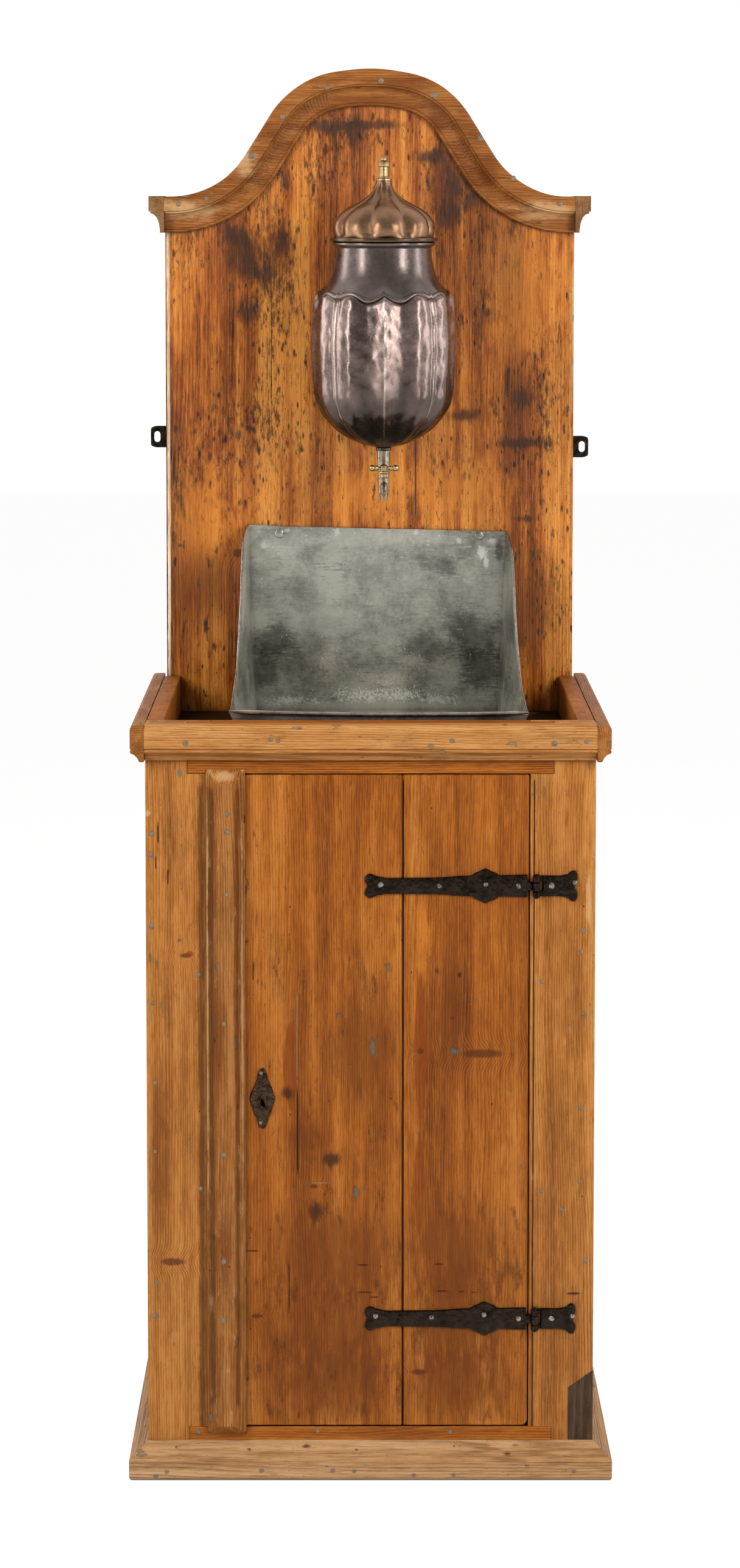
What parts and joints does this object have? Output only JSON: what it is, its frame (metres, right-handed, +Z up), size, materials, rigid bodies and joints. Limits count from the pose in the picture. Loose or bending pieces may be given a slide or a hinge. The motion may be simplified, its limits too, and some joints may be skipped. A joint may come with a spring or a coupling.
{
  "type": "washstand",
  "caption": "Old pine washstand: cabinet with a strap-hinged door, arched back board, hanging fluted copper cistern with tap and lid, and a folded sheet-metal basin in a moulded tray.",
  "frame": {"origin": "on the floor, under the middle of the object's bounding box", "axes": "+Z up, front with the door towards -Y, +X to the right seen from the front"},
  "size_m": [0.64, 0.403, 1.8816],
  "materials": {
    "pine": "aged, waxed pine with open grain",
    "worn_pine": "worn, gouge-marked pine mouldings",
    "dark_pine": "dark repair wood",
    "iron": "blackened wrought iron",
    "copper": "dark patinated copper sheet",
    "tin": "dull tinned sheet",
    "brass": "worn polished brass"
  },
  "bodies": {
    "stand": {"crest_moulding": "worn_pine", "crest_return_left": "worn_pine", "crest_return_right": "worn_pine", "tray_moulding_front": "worn_pine", "tray_moulding_left": "worn_pine", "tray_moulding_right": "worn_pine", "plinth_front": "worn_pine", "plinth_left": "worn_pine", "plinth_right": "worn_pine", "side_board_left": "pine", "side_board_right": "pine", "back_board": "pine", "stile_left": "pine", "stile_right": "pine", "top_rail": "pine", "bottom_rail": "pine", "cabinet_floor": "pine", "shelf": "pine", "shelf_cleat_left": "pine", "shelf_cleat_right": "pine", "tray_floor": "pine", "tray_cleat_left": "pine", "tray_cleat_right": "pine", "cistern_rest": "pine", "stile_patch": "dark_pine", "wall_ear_left": "iron", "wall_ear_right": "iron", "hinge_leaf_upper": "iron", "hinge_leaf_lower": "iron", "hinge_pin_upper": "iron", "hinge_pin_lower": "iron", "lock_keep": "iron", "cistern_hook": "iron", "cistern_body": "copper", "cistern_neck": "copper", "cistern_lug": "copper", "basin": "tin", "basin_rim": "tin", "tap_body": "brass"},
    "door": {"door_board_left": "pine", "door_board_right": "pine", "door_batten_upper": "pine", "door_batten_lower": "pine", "cover_strip": "pine", "hinge_strap_upper": "iron", "hinge_strap_lower": "iron", "escutcheon": "iron", "lock_case": "iron"},
    "bolt": {"lock_bolt": "iron"},
    "tap_key": {"tap_plug": "brass", "tap_handle": "brass"},
    "lid": {"lid_dome": "copper", "lid_finial": "brass"}
  },
  "joints": [
    {"name": "door_hinge", "type": "hinge", "parent": "stand", "child": "door", "pos_m": [0.218, -0.1831, 0.5], "axis": [0, 0, 1], "range_deg": [0, 160]},
    {"name": "lock_slide", "type": "slide", "parent": "door", "child": "bolt", "axis": [-1, 0, 0], "range_m": [0, 0.018]},
    {"name": "tap_turn", "type": "hinge", "parent": "stand", "child": "tap_key", "pos_m": [0.019, 0.0315, 1.312], "axis": [0, 0, 1], "range_deg": [0, 90]},
    {"name": "lid_lift", "type": "slide", "parent": "stand", "child": "lid", "axis": [0, 0, 1], "range_m": [0, 0.12]}
  ]
}
